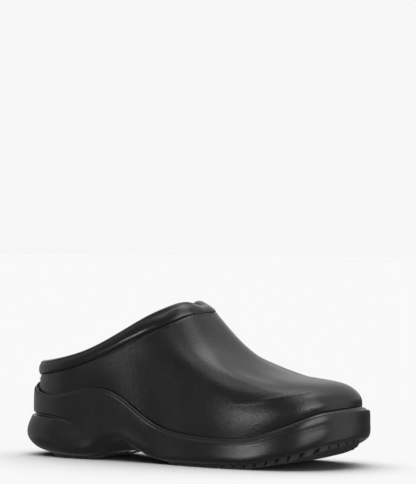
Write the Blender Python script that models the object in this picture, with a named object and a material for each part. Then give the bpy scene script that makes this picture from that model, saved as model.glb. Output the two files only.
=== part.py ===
"""A slip-on chef clog, the right shoe, standing on its sole.

+X runs from heel to toe, -Y is the outer (lateral) side, +Z is up, metres.
Every form is a set of closed loops around the shoe. Station 0 is the toe tip,
the loops run back along the lateral side, round the heel and forward again
along the medial side. The tables have one row for each section of the last.
"""

import math

import bmesh
import bpy
import numpy as np
from mathutils import Matrix

# Main sizes
LENGTH = 0.272            # sole, from the back of the heel to the toe
BALL_WIDTH = 0.100        # sole, across the ball
INSTEP_HEIGHT = 0.115     # floor to the top of the collar at the throat
HEEL_HEIGHT = 0.050       # floor to the sole's top edge at the heel
TOE_SPRING = 0.020        # rise of the tread under the toe tip
ARCH_LIFT = 0.0055        # rise of the underside between heel and forefoot
HEEL_BEVEL = 0.0045       # rise of the tread at the back of the heel

# Upper
WALL = 0.0025             # wall of the moulded upper
BAND_DEPTH = 0.0128       # collar band, seam to crown
BAND_THICKNESS = 0.0068   # collar band, face to lining

# Sole and tread
HEEL_LEDGE = 0.0032       # sole edge beyond the upper at the heel
TOE_LEDGE = 0.0056        # sole edge beyond the upper at the toe
LIP_BEVEL = 0.0019        # drop across the sole's top edge
LIP_GROOVE = 0.0010       # open groove between the top edge and the upper
GROOVE_DEPTH = 0.0018
CREASE_WIDTH = 0.0032     # notch round the heel
TREAD_THICKNESS = 0.0015
TREAD_MARGIN = 0.0012     # tread pads lie this far inside the sole's edge
LUG_PITCH = 0.0115
LUG_GAP = 0.0028          # open groove between two lugs
LUG_DEPTH = 0.0010
LUG_ZIGZAG = 0.0032       # swing of the zigzag grooves
HEEL_TREAD_FRONT = 0.076   # where the heel pad ends, from the back of the heel
FORE_TREAD_BACK = 0.136    # where the forefoot pad begins
TREAD_CURVE = 0.005        # bow of those two ends

# Insole
INSOLE_THICKNESS = 0.0045
INSOLE_RIM = 0.0022       # how far its edge rises round the heel
DISH = 0.0016             # hollow of the footbed, middle below edge

CLEARANCE = 0.0003        # gap between two pieces that meet
STATIONS = 64             # points in each loop
RUNGS = STATIONS // 2     # crossings of the shoe between lateral and medial side

BLACK_MOULDED = (0.0165, 0.0165, 0.0175, 1.0)
BLACK_RUBBER = (0.0120, 0.0120, 0.0125, 1.0)
BLACK_LINING = (0.0210, 0.0210, 0.0225, 1.0)


def table(columns, *rows):
    """Turn rows of numbers into named columns; the first entry names the row."""
    names = columns.split()
    return {name: [row[i + 1] for row in rows] for i, name in enumerate(names)}


# Outline of the sole's top edge. x in LENGTH, y in BALL_WIDTH.
OUTLINE = table(
    "lateral_x lateral_y medial_x medial_y",
    ("toe tip", 0.991, 0.050, 0.991, 0.050),
    ("toe quarter", 0.964, -0.205, 0.961, 0.240),
    ("toe corner", 0.902, -0.392, 0.912, 0.386),
    ("ball front", 0.794, -0.480, 0.824, 0.465),
    ("ball", 0.665, -0.498, 0.714, 0.482),
    ("ball rear", 0.545, -0.458, 0.588, 0.425),
    ("waist front", 0.444, -0.411, 0.471, 0.330),
    ("waist", 0.354, -0.396, 0.360, 0.283),
    ("heel front", 0.253, -0.373, 0.252, 0.300),
    ("heel", 0.138, -0.340, 0.138, 0.330),
    ("heel corner", 0.045, -0.222, 0.045, 0.222),
    ("heel back", 0.010, 0.000, 0.010, 0.000),
)

# Side of the sole. Heights lip in HEEL_HEIGHT, the others in the local height
# of that edge. Steps outward and inward in BALL_WIDTH.
SIDE = table(
    "lateral_lip medial_lip wall_out crease crease_z flare flare_z round_in round_z edge_in",
    ("toe tip", 0.454, 0.454, 0.003, 0.000, 0.598, 0.004, 0.323, 0.012, 0.091, 0.060),
    ("toe quarter", 0.474, 0.459, 0.004, 0.000, 0.620, 0.006, 0.345, 0.010, 0.113, 0.060),
    ("toe corner", 0.499, 0.484, 0.006, 0.000, 0.642, 0.009, 0.400, 0.003, 0.147, 0.055),
    ("ball front", 0.442, 0.454, 0.007, 0.000, 0.704, 0.011, 0.471, -0.001, 0.196, 0.045),
    ("ball", 0.406, 0.410, 0.007, 0.000, 0.723, 0.011, 0.489, -0.001, 0.213, 0.045),
    ("ball rear", 0.446, 0.464, 0.006, 0.000, 0.683, 0.008, 0.450, 0.001, 0.197, 0.048),
    ("waist front", 0.589, 0.639, 0.004, 0.000, 0.646, 0.003, 0.270, 0.028, 0.166, 0.080),
    ("waist", 0.896, 0.896, 0.000, 0.000, 0.630, 0.000, 0.383, 0.092, 0.269, 0.127),
    ("heel front", 1.019, 0.984, 0.003, 0.000, 0.480, 0.008, 0.290, 0.008, 0.110, 0.070),
    ("heel", 0.899, 0.909, -0.002, 0.013, 0.640, 0.022, 0.300, 0.014, 0.105, 0.090),
    ("heel corner", 0.950, 0.950, 0.003, 0.020, 0.630, 0.045, 0.300, 0.026, 0.115, 0.120),
    ("heel back", 1.045, 1.045, 0.003, 0.020, 0.580, 0.049, 0.272, 0.026, 0.110, 0.120),
)

# Collar seam, where the band meets the upper. x in LENGTH, y in BALL_WIDTH,
# rise from HEEL_HEIGHT to INSTEP_HEIGHT, lean of the band in degrees, its
# local depth in BAND_DEPTH.
COLLAR = table(
    "lateral_x lateral_y medial_x medial_y rise lean band",
    ("toe tip", 0.5480, 0.030, 0.5480, 0.030, 0.842, 59.0, 0.84),
    ("toe quarter", 0.5460, -0.055, 0.5350, 0.108, 0.840, 61.0, 0.94),
    ("toe corner", 0.5370, -0.139, 0.5150, 0.165, 0.830, 47.0, 0.99),
    ("ball front", 0.5160, -0.218, 0.4900, 0.226, 0.802, 37.5, 1.10),
    ("ball", 0.4780, -0.285, 0.4490, 0.298, 0.722, 26.0, 1.18),
    ("ball rear", 0.4220, -0.328, 0.3960, 0.325, 0.620, 20.0, 1.16),
    ("waist front", 0.3600, -0.346, 0.3400, 0.332, 0.498, 15.0, 1.04),
    ("waist", 0.2920, -0.350, 0.2790, 0.326, 0.366, 11.0, 0.92),
    ("heel front", 0.2190, -0.343, 0.2110, 0.318, 0.256, 8.0, 0.82),
    ("heel", 0.1360, -0.313, 0.1330, 0.300, 0.170, 6.0, 0.82),
    ("heel corner", 0.0610, -0.200, 0.0600, 0.200, 0.122, 3.0, 0.84),
    ("heel back", 0.0285, 0.000, 0.0285, 0.000, 0.108, 2.0, 0.86),
)

# Form of the upper from the sole's edge (0) to the collar seam (1). For each
# point, in is the way across in plan and up is the way up in height.
LAST = table(
    "wall_in wall_up shoulder_in shoulder_up deck_in deck_up vamp_in vamp_up cone_in cone_up",
    ("toe tip", 0.000, 0.098, 0.050, 0.208, 0.182, 0.286, 0.430, 0.348, 0.728, 0.562),
    ("toe quarter", -0.004, 0.096, 0.050, 0.212, 0.186, 0.292, 0.430, 0.356, 0.728, 0.567),
    ("toe corner", -0.012, 0.105, 0.055, 0.235, 0.200, 0.320, 0.440, 0.402, 0.730, 0.605),
    ("ball front", -0.020, 0.145, 0.070, 0.335, 0.250, 0.452, 0.460, 0.548, 0.740, 0.718),
    ("ball", -0.030, 0.164, 0.080, 0.377, 0.280, 0.528, 0.500, 0.660, 0.750, 0.811),
    ("ball rear", -0.020, 0.180, 0.100, 0.395, 0.300, 0.560, 0.500, 0.700, 0.745, 0.843),
    ("waist front", 0.080, 0.190, 0.230, 0.390, 0.420, 0.570, 0.600, 0.725, 0.790, 0.865),
    ("waist", 0.150, 0.180, 0.310, 0.360, 0.480, 0.530, 0.650, 0.690, 0.820, 0.845),
    ("heel front", 0.167, 0.167, 0.333, 0.333, 0.500, 0.500, 0.667, 0.667, 0.833, 0.833),
    ("heel", 0.167, 0.167, 0.333, 0.333, 0.500, 0.500, 0.667, 0.667, 0.833, 0.833),
    ("heel corner", 0.167, 0.167, 0.333, 0.333, 0.500, 0.500, 0.667, 0.667, 0.833, 0.833),
    ("heel back", 0.167, 0.167, 0.333, 0.333, 0.500, 0.500, 0.667, 0.667, 0.833, 0.833),
)

# Collar band from the seam over its crown to the lining. Along in BAND_DEPTH,
# out in BAND_THICKNESS.
BAND = table(
    "along out",
    ("seam groove", 0.00, -0.10),
    ("lower edge", 0.07, 0.12),
    ("face", 0.36, 0.25),
    ("upper face", 0.74, 0.16),
    ("crown outside", 0.94, -0.10),
    ("crown", 1.00, -0.40),
    ("crown inside", 0.93, -0.70),
    ("inner face", 0.62, -0.88),
    ("inner edge", 0.22, -0.78),
)

# Underside along the shoe. x in LENGTH, spring in TOE_SPRING, arch in
# ARCH_LIFT, bevel in HEEL_BEVEL, footbed above the tread in HEEL_HEIGHT,
# tread in TREAD_THICKNESS.
UNDERSIDE = table(
    "x spring arch bevel footbed tread",
    ("heel edge", 0.000, 0.000, 0.0, 1.000, 0.614, 1.00),
    ("heel bevel", 0.050, 0.000, 0.0, 0.330, 0.614, 1.00),
    ("heel strike", 0.105, 0.000, 0.0, 0.000, 0.609, 1.00),
    ("heel seat", 0.180, 0.000, 0.0, 0.000, 0.594, 1.00),
    ("seat front", 0.230, 0.000, 0.0, 0.000, 0.585, 1.00),
    ("heel breast", 0.285, 0.000, 0.35, 0.000, 0.574, 1.00),
    ("waist", 0.365, 0.000, 1.0, 0.000, 0.484, 1.00),
    ("waist front", 0.440, 0.000, 0.55, 0.000, 0.374, 1.00),
    ("ball rear", 0.520, 0.000, 0.0, 0.000, 0.264, 1.00),
    ("ball", 0.640, 0.000, 0.0, 0.000, 0.219, 1.30),
    ("ball front", 0.735, 0.000, 0.0, 0.000, 0.209, 2.30),
    ("toe break", 0.840, 0.260, 0.0, 0.000, 0.204, 2.85),
    ("toe corner", 0.900, 0.500, 0.0, 0.000, 0.204, 2.87),
    ("toe quarter", 0.950, 0.780, 0.0, 0.000, 0.204, 2.00),
    ("toe tip", 1.000, 1.000, 0.0, 0.000, 0.204, 1.20),
)


def around(lateral, medial):
    """Even samples of the smooth closed curve through one column of a table."""
    knots = np.array(list(lateral) + list(medial)[-2:0:-1], dtype=float)
    count = len(knots)
    system = 4.0 * np.eye(count) + np.roll(np.eye(count), 1, 0) + np.roll(np.eye(count), -1, 0)
    bend = np.linalg.solve(system, 6.0 * (np.roll(knots, 1) - 2.0 * knots + np.roll(knots, -1)))
    place = np.arange(STATIONS) * count / STATIONS
    here = place.astype(int)
    there = (here + 1) % count
    past = place - here
    left = 1.0 - past
    return (left * knots[here] + past * knots[there]
            + ((left ** 3 - left) * bend[here] + (past ** 3 - past) * bend[there]) / 6.0)


def both(columns, name):
    """A column that is the same on the lateral and the medial side."""
    return around(columns[name], columns[name])


def sides(columns, name):
    """A column with a lateral and a medial version."""
    return around(columns["lateral_" + name], columns["medial_" + name])


def along(x, column):
    """A height along the shoe, without overshoot, so level parts stay level."""
    knots = np.array(UNDERSIDE["x"]) * LENGTH
    values = np.array(UNDERSIDE[column])
    step = np.diff(knots)
    slope = np.diff(values) / step
    lean = np.zeros(len(knots))
    for i in range(1, len(knots) - 1):
        if slope[i - 1] * slope[i] > 0.0:
            first = 2.0 * step[i] + step[i - 1]
            second = step[i] + 2.0 * step[i - 1]
            lean[i] = (first + second) / (first / slope[i - 1] + second / slope[i])
    lean[-1] = slope[-1]
    lean[0] = slope[0]
    x = np.clip(x, knots[0], knots[-1])
    i = np.clip(np.searchsorted(knots, x) - 1, 0, len(step) - 1)
    t = (x - knots[i]) / step[i]
    return ((1 + 2 * t) * (1 - t) ** 2 * values[i] + t * (1 - t) ** 2 * step[i] * lean[i]
            + t * t * (3 - 2 * t) * values[i + 1] + t * t * (t - 1) * step[i] * lean[i + 1])


def spring(x):
    """Rise of the whole toe over the floor."""
    return along(x, "spring") * TOE_SPRING


def tread_line(x):
    """Height of the tread's walking face over the floor."""
    return spring(x) + along(x, "arch") * ARCH_LIFT + along(x, "bevel") * HEEL_BEVEL


def tread_top(x):
    """Height of the face where the tread pads end and the sole begins."""
    return tread_line(x) + along(x, "tread") * TREAD_THICKNESS


def footbed(x, across):
    """Height of the sole's inner floor; across is -1 at the lateral edge, 1 at the medial."""
    return spring(x) + along(x, "footbed") * HEEL_HEIGHT + DISH * (across ** 2 - 1.0)


def outward(x, y):
    """Plan normals of a closed loop, pointing out of the shoe."""
    dx = np.roll(x, -1) - np.roll(x, 1)
    dy = np.roll(y, -1) - np.roll(y, 1)
    size = np.hypot(dx, dy)
    return np.stack([-dy / size, dx / size], axis=1)


def ring(plan, z):
    """A loop of points from plan positions and heights."""
    return np.column_stack([plan, np.broadcast_to(z, len(plan))])


def through(knots, samples, last=True):
    """Rows of a smooth curve through the knot loops, with samples rows in each gap."""
    knots = np.array(knots)
    gap = np.linalg.norm(np.diff(knots, axis=0), axis=2)[:, :, None] + 1e-9
    slope = np.diff(knots, axis=0) / gap
    lean = np.empty_like(knots)
    lean[0] = slope[0]
    lean[-1] = slope[-1]
    lean[1:-1] = (slope[:-1] * gap[1:] + slope[1:] * gap[:-1]) / (gap[1:] + gap[:-1])
    rows = []
    for i, count in enumerate(samples):
        for k in range(count):
            t = k / count
            rows.append((1 + 2 * t) * (1 - t) ** 2 * knots[i] + t * (1 - t) ** 2 * gap[i] * lean[i]
                        + t * t * (3 - 2 * t) * knots[i + 1] + t * t * (t - 1) * gap[i] * lean[i + 1])
    if last:
        rows.append(knots[-1])
    return rows


def surface_normals(rows):
    """Outward normals of a sheet of loops, from its neighbours on all sides."""
    sheet = np.array(rows)
    round_step = np.roll(sheet, -1, axis=1) - np.roll(sheet, 1, axis=1)
    up_step = np.gradient(sheet, axis=0)
    normal = np.cross(up_step, round_step)
    return normal / np.linalg.norm(normal, axis=2, keepdims=True)


# Plans and heights that several pieces share
plan = np.column_stack([sides(OUTLINE, "x") * LENGTH, sides(OUTLINE, "y") * BALL_WIDTH])
plan_out = outward(plan[:, 0], plan[:, 1])
toe_spring = spring(plan[:, 0])
lip_height = sides(SIDE, "lip") * HEEL_HEIGHT
lip = toe_spring + lip_height
ledge = HEEL_LEDGE + (TOE_LEDGE - HEEL_LEDGE) * np.clip(plan[:, 0] / LENGTH, 0.0, 1.0)
foot_plan = plan - plan_out * ledge[:, None]
foot_z = lip - 0.5 * GROOVE_DEPTH
floor_z = footbed(foot_plan[:, 0], 1.0)


def upper_outside():
    """Loops of the upper's outer face, from the sole's floor up to the collar seam."""
    seam = np.column_stack([
        sides(COLLAR, "x") * LENGTH,
        sides(COLLAR, "y") * BALL_WIDTH,
        HEEL_HEIGHT + both(COLLAR, "rise") * (INSTEP_HEIGHT - HEEL_HEIGHT),
    ])
    foot = ring(foot_plan, foot_z)
    knots = [foot]
    for name in ("wall", "shoulder", "deck", "vamp", "cone"):
        share_in = both(LAST, name + "_in")[:, None]
        share_up = both(LAST, name + "_up")[:, None]
        way = np.hstack([share_in, share_in, share_up])
        knots.append(foot + way * (seam - foot))
    knots.append(seam)
    buried = ring(foot_plan, floor_z + CLEARANCE)
    return [buried] + through(knots, (2, 2, 2, 2, 2, 2))


def collar_band(seam):
    """Loops of the collar band, from the seam over the crown to the lining."""
    out = outward(seam[:, 0], seam[:, 1])
    lean = np.radians(both(COLLAR, "lean"))[:, None]
    level = np.zeros((STATIONS, 1))
    up = np.hstack([-out * np.sin(lean), np.cos(lean)])
    face = np.hstack([out * np.cos(lean), np.sin(lean) + level])
    rows = []
    depth = both(COLLAR, "band")[:, None] * BAND_DEPTH
    for share_up, share_out in zip(BAND["along"], BAND["out"]):
        rows.append(seam + up * share_up * depth + face * share_out * BAND_THICKNESS)
    return rows


def sole_side():
    """Loops of the sole's side, from its bottom edge up to the outer line of its top edge."""
    def at(out, share):
        return ring(plan + plan_out * (out * BALL_WIDTH)[:, None], toe_spring + lip_height * share)

    top = ring(plan, lip - LIP_BEVEL)
    wall_out = both(SIDE, "wall_out")
    flare = both(SIDE, "flare")
    flare_z = both(SIDE, "flare_z")
    crease_z = both(SIDE, "crease_z")
    crease = both(SIDE, "crease")
    half = 0.5 * CREASE_WIDTH / lip_height
    wall_z = 0.5 * (1.0 - LIP_BEVEL / lip_height + crease_z + half)
    rest = wall_out + (flare - wall_out) * 0.25
    edge_plan = plan - plan_out * (both(SIDE, "edge_in") * BALL_WIDTH)[:, None]
    edge = ring(edge_plan, tread_top(edge_plan[:, 0]) + CLEARANCE)
    lower = [edge, at(-both(SIDE, "round_in"), both(SIDE, "round_z")), at(flare, flare_z),
             at(rest, crease_z - half)]
    notch = [at(rest - crease, crease_z)]
    upper = [at(wall_out, crease_z + half), at(wall_out, wall_z), top]
    return through(lower, (3, 3, 2)) + notch + through(upper, (1, 2)), edge


def crossing(loop, height, steps):
    """A floor of rungs from each lateral station to its medial partner."""
    rungs = []
    for i in range(RUNGS + 1):
        first = loop[i]
        second = loop[(STATIONS - i) % STATIONS]
        line = []
        for k in range(steps + 1):
            share = k / steps
            point = first + (second - first) * share
            if 0 < k < steps:
                point = np.array([point[0], point[1], height(point[0], 2.0 * share - 1.0)])
            line.append(point)
        rungs.append(line)
    return rungs


class Solid:
    """Collects quads by position and welds them into one closed mesh."""

    def __init__(self):
        self.mesh = bmesh.new()
        self.seen = {}

    def vertex(self, point):
        key = tuple(round(float(value) * 1e7) for value in point)
        if key not in self.seen:
            self.seen[key] = self.mesh.verts.new([float(value) for value in point])
        return self.seen[key]

    def face(self, *points):
        corners = []
        for point in points:
            vertex = self.vertex(point)
            if vertex not in corners:
                corners.append(vertex)
        if len(corners) > 2:
            self.mesh.faces.new(corners)

    def loops(self, rows, closed=False):
        """Skin between loops that follow one another."""
        pairs = list(zip(rows[:-1], rows[1:]))
        if closed:
            pairs.append((rows[-1], rows[0]))
        for low, high in pairs:
            for i in range(len(low)):
                j = (i + 1) % len(low)
                self.face(low[i], low[j], high[j], high[i])

    def grid(self, rungs):
        """Skin between rungs, such as a floor."""
        for near, far in zip(rungs[:-1], rungs[1:]):
            for k in range(len(near) - 1):
                self.face(near[k], near[k + 1], far[k + 1], far[k])

    def finish(self, name, material, collection):
        bmesh.ops.recalc_face_normals(self.mesh, faces=self.mesh.faces[:])
        data = bpy.data.meshes.new(name)
        self.mesh.to_mesh(data)
        self.mesh.free()
        data.transform(SHIFT)
        data.materials.append(material)
        data.shade_smooth()
        data.set_sharp_from_angle(angle=math.radians(38.0))
        piece = bpy.data.objects.new(name, data)
        collection.objects.link(piece)
        return piece


def paint(name, colour, roughness):
    material = bpy.data.materials.new(name)
    material.use_nodes = True
    shader = material.node_tree.nodes["Principled BSDF"]
    shader.inputs["Base Color"].default_value = colour
    shader.inputs["Roughness"].default_value = roughness
    shader.inputs["Metallic"].default_value = 0.0
    return material


def make_upper(collection):
    outside = upper_outside()
    band = collar_band(outside[-1])
    normal = surface_normals(outside)
    inside = [row - WALL * side for row, side in zip(outside, normal)]
    inside[0][:, 2] = outside[0][:, 2]
    lining = [inside[k] for k in (11, 9, 8, 6, 5, 4, 3, 2, 1, 0)]
    solid = Solid()
    solid.loops(outside[:-1] + band + lining, closed=True)
    solid.finish("upper", paint("black moulded upper", BLACK_MOULDED, 0.42), collection)
    return inside


def make_sole(collection):
    side, edge = sole_side()
    inner_plan = foot_plan + plan_out * CLEARANCE
    lip_plan = foot_plan + plan_out * (CLEARANCE + LIP_GROOVE)
    rows = side + [
        ring(lip_plan, lip),
        ring(inner_plan, lip - GROOVE_DEPTH),
        ring(inner_plan, footbed(inner_plan[:, 0], 1.0)),
    ]
    solid = Solid()
    solid.loops(rows)
    solid.grid(crossing(rows[-1], footbed, 6))
    solid.grid(crossing(edge, lambda x, across: tread_top(x) + CLEARANCE, 6))
    solid.finish("sole", paint("black moulded sole", BLACK_MOULDED, 0.45), collection)
    return edge


def make_insole(collection, inside):
    bottom_plan = inside[0][:, :2] - plan_out * CLEARANCE
    back = np.clip(1.0 - bottom_plan[:, 0] / (0.5 * LENGTH), 0.0, 1.0)
    base = footbed(bottom_plan[:, 0], 1.0) + CLEARANCE
    thick = INSOLE_THICKNESS + INSOLE_RIM * back
    rows = [
        ring(bottom_plan, base),
        ring(bottom_plan, base + thick - 0.0012),
        ring(bottom_plan - plan_out * 0.0012, base + thick),
    ]

    def top(x, across):
        rise = INSOLE_RIM * max(0.0, 1.0 - x / (0.5 * LENGTH)) * across ** 4
        return footbed(x, across) + CLEARANCE + INSOLE_THICKNESS + rise

    solid = Solid()
    solid.loops(rows)
    solid.grid(crossing(rows[-1], top, 6))
    solid.grid(crossing(rows[0], lambda x, across: footbed(x, across) + CLEARANCE, 6))
    solid.finish("insole", paint("black insole", BLACK_LINING, 0.85), collection)


def edge_at(loop, x, side):
    """Plan y of a loop at x, on its lateral (0) or medial (1) side."""
    if side == 0:
        half = loop[:RUNGS + 1]
    else:
        half = np.vstack([loop[RUNGS:], loop[:1]])
    order = np.argsort(half[:, 0])
    return np.interp(x, half[order, 0], half[order, 1])


def tread_rungs(edge, cut, toward_toe, steps):
    """Crossings of the sole's bottom from its end to a curved cut."""
    loop = edge[:, :2] - plan_out * TREAD_MARGIN
    sign = 1.0 if toward_toe else -1.0
    order = range(RUNGS + 1) if toward_toe else range(RUNGS, -1, -1)
    ends = []
    for i in order:
        lateral = loop[i]
        medial = loop[(STATIONS - i) % STATIONS]
        if min(sign * (lateral[0] - cut), sign * (medial[0] - cut)) < 0.003:
            break
        ends.append((lateral, medial))
    ends.append((np.array([cut, edge_at(loop, cut, 0)]), np.array([cut, edge_at(loop, cut, 1)])))
    rungs = []
    for lateral, medial in ends:
        near_cut = max(0.0, 1.0 - abs(0.5 * (lateral[0] + medial[0]) - cut) / 0.03)
        line = []
        for k in range(steps + 1):
            across = k / steps
            point = lateral + (medial - lateral) * across
            bow = sign * TREAD_CURVE * (1.0 - (2.0 * across - 1.0) ** 2) * near_cut
            line.append((point[0] + bow, point[1]))
        rungs.append(line)
    return rungs


def tread_pad(name, edge, cut, toward_toe, steps, material, collection, cutters):
    """A rubber pad under the sole, cut into lugs by zigzag grooves."""
    rungs = tread_rungs(edge, cut, toward_toe, steps)
    top = [[np.array([x, y, tread_top(x)]) for x, y in line] for line in rungs]
    base = [[np.array([x, y, tread_line(x)]) for x, y in line] for line in rungs]
    solid = Solid()
    solid.grid(top)
    solid.grid(base)
    for upper, lower in ((top[-1], base[-1]),
                         ([line[0] for line in top], [line[0] for line in base]),
                         ([line[-1] for line in top], [line[-1] for line in base])):
        solid.grid([upper, lower])
    pad = solid.finish(name, material, collection)
    spread = [x for line in rungs for x, y in line]
    start, end = min(spread), max(spread)

    groove = Solid()
    cells = int((end - start) / LUG_PITCH)
    teeth = 8
    for cell in range(1, cells + 1):
        x = start + (cell - 0.35) * LUG_PITCH + 0.5 * LUG_GAP
        if x > end - 0.006:
            continue
        ceiling = tread_line(x) + LUG_DEPTH
        reach = 0.62 * BALL_WIDTH
        near, far = [], []
        for k in range(teeth + 1):
            y = -reach + 2.0 * reach * k / teeth
            swing = LUG_ZIGZAG * (1.0 if k % 2 else -1.0) * 0.5
            near.append((x + swing - 0.5 * LUG_GAP, y))
            far.append((x + swing + 0.5 * LUG_GAP, y))
        roof = [[np.array([a, b, ceiling]) for a, b in line] for line in (near, far)]
        sill = [[np.array([a, b, ceiling - 0.03]) for a, b in line] for line in (near, far)]
        groove.grid(roof)
        groove.grid(sill)
        for index in (0, 1):
            groove.grid([roof[index], sill[index]])
        for index in (0, -1):
            groove.face(roof[0][index], roof[1][index], sill[1][index], sill[0][index])
    cutter = groove.finish(name + "_grooves", material, cutters)
    cutter.hide_render = True
    cutter.display_type = "WIRE"
    cut = pad.modifiers.new("lugs", "BOOLEAN")
    cut.operation = "DIFFERENCE"
    cut.solver = "EXACT"
    cut.object = cutter
    return pad


for old in list(bpy.data.objects):
    bpy.data.objects.remove(old, do_unlink=True)

parts = bpy.data.collections.new("chef_clog")
tools = bpy.data.collections.new("chef_clog_cutters")
bpy.context.scene.collection.children.link(parts)
bpy.context.scene.collection.children.link(tools)

# The origin lies under the middle of the shoe, on the floor
side_rows, bottom_edge = sole_side()
whole = np.vstack(side_rows)
middle = 0.5 * (whole.min(axis=0) + whole.max(axis=0))
SHIFT = Matrix.Translation((-middle[0], -middle[1], 0.0))

lining_rows = make_upper(parts)
make_sole(parts)
make_insole(parts, lining_rows)
rubber = paint("black rubber tread", BLACK_RUBBER, 0.60)
tread_pad("outsole_heel", bottom_edge, HEEL_TREAD_FRONT, False, 8, rubber, parts, tools)
tread_pad("outsole_forefoot", bottom_edge, FORE_TREAD_BACK, True, 8, rubber, parts, tools)
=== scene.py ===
"""Looks of the chef clog: a fine skin for each solid, its materials, light and camera.

The tables and the curve functions are those of the part, read here with more
points; the collar band's profile, the relief and the tread cuts are finer here.
Station 0 is the toe tip; loops run back along the lateral side, round the heel
and forward along the medial side. Metres, +X toe, -Y lateral, +Z up.
"""

import math

import bmesh
import bpy
import numpy as np
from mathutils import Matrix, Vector


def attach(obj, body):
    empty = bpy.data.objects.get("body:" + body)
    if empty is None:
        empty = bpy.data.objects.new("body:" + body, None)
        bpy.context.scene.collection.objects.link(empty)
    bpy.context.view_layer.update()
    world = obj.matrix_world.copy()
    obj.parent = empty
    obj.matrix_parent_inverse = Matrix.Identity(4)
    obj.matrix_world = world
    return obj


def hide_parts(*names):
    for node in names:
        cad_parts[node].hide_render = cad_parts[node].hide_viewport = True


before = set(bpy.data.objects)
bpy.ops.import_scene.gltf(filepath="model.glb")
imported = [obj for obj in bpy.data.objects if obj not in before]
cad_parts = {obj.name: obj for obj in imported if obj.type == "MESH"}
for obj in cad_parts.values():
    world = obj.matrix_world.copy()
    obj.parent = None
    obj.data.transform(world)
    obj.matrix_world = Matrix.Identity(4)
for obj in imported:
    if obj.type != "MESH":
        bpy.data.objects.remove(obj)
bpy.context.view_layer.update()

# Sizes of the part
LENGTH = 0.272
BALL_WIDTH = 0.100
INSTEP_HEIGHT = 0.115
HEEL_HEIGHT = 0.050
TOE_SPRING = 0.020
ARCH_LIFT = 0.0055
HEEL_BEVEL = 0.0045
WALL = 0.0025
BAND_DEPTH = 0.0128
BAND_THICKNESS = 0.0068
HEEL_LEDGE = 0.0032
TOE_LEDGE = 0.0056
LIP_BEVEL = 0.0019
LIP_GROOVE = 0.0010
GROOVE_DEPTH = 0.0018
CREASE_WIDTH = 0.0032
TREAD_THICKNESS = 0.0015
TREAD_MARGIN = 0.0012
HEEL_TREAD_FRONT = 0.076
FORE_TREAD_BACK = 0.136
TREAD_CURVE = 0.005
INSOLE_THICKNESS = 0.0045
INSOLE_RIM = 0.0022
DISH = 0.0016
CLEARANCE = 0.0003

# Sizes of the finer forms
FOOT_STRIP = 0.003        # rows stand close on the upper: at its foot,
RELIEF_REACH = 0.034      # up to here for the relief,
SEAM_STRIP = 0.0032       # and this far under the seam
RIDGE_WIDTH = 1.5         # millimetres, as in the relief's table
TROUGH_BELOW = 5.0
TROUGH_ABOVE = 2.4
WELT_WIDTH = 0.62
SLACK_DOWN = 14.0         # middle and half width of the faint slackness under the seam
EDGE_BEAD = 0.0024        # strip at the sole's bottom edge that holds a thin bead
EDGE_RISE = 0.0003        # height of that bead
DITCH = 0.0009            # depth of the step in the sole's top edge
LIP_SWELL = 0.0005        # height of the bead inside that step
LUG_PITCH = 0.0083
LUG_GAP = 0.0020
LUG_DEPTH = 0.0011
LUG_DEEPER = 0.8          # share of the tread's extra thickness that the cuts take
LUG_ZIGZAG = 0.0036
LUG_SLANT = 0.0046
LUG_TEETH = 8
CROSS_PITCH = 0.0068      # cuts along the shoe
CROSS_HALF = 0.0006
CROSS_SHIFT = 0.0007
CUT_UNDER = 0.006         # how far the cutters reach below the tread
CENTRE = np.array([0.1339078, -0.0007544, 0.0])   # the part's origin in the tables' frame

STATIONS = 384
RUNGS = STATIONS // 2


def table(columns, *rows):
    names = columns.split()
    return {name: [row[i + 1] for row in rows] for i, name in enumerate(names)}


OUTLINE = table(
    "lateral_x lateral_y medial_x medial_y",
    ("toe tip", 0.991, 0.050, 0.991, 0.050),
    ("toe quarter", 0.964, -0.205, 0.961, 0.240),
    ("toe corner", 0.902, -0.392, 0.912, 0.386),
    ("ball front", 0.794, -0.480, 0.824, 0.465),
    ("ball", 0.665, -0.498, 0.714, 0.482),
    ("ball rear", 0.545, -0.458, 0.588, 0.425),
    ("waist front", 0.444, -0.411, 0.471, 0.330),
    ("waist", 0.354, -0.396, 0.360, 0.283),
    ("heel front", 0.253, -0.373, 0.252, 0.300),
    ("heel", 0.138, -0.340, 0.138, 0.330),
    ("heel corner", 0.045, -0.222, 0.045, 0.222),
    ("heel back", 0.010, 0.000, 0.010, 0.000),
)

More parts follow.
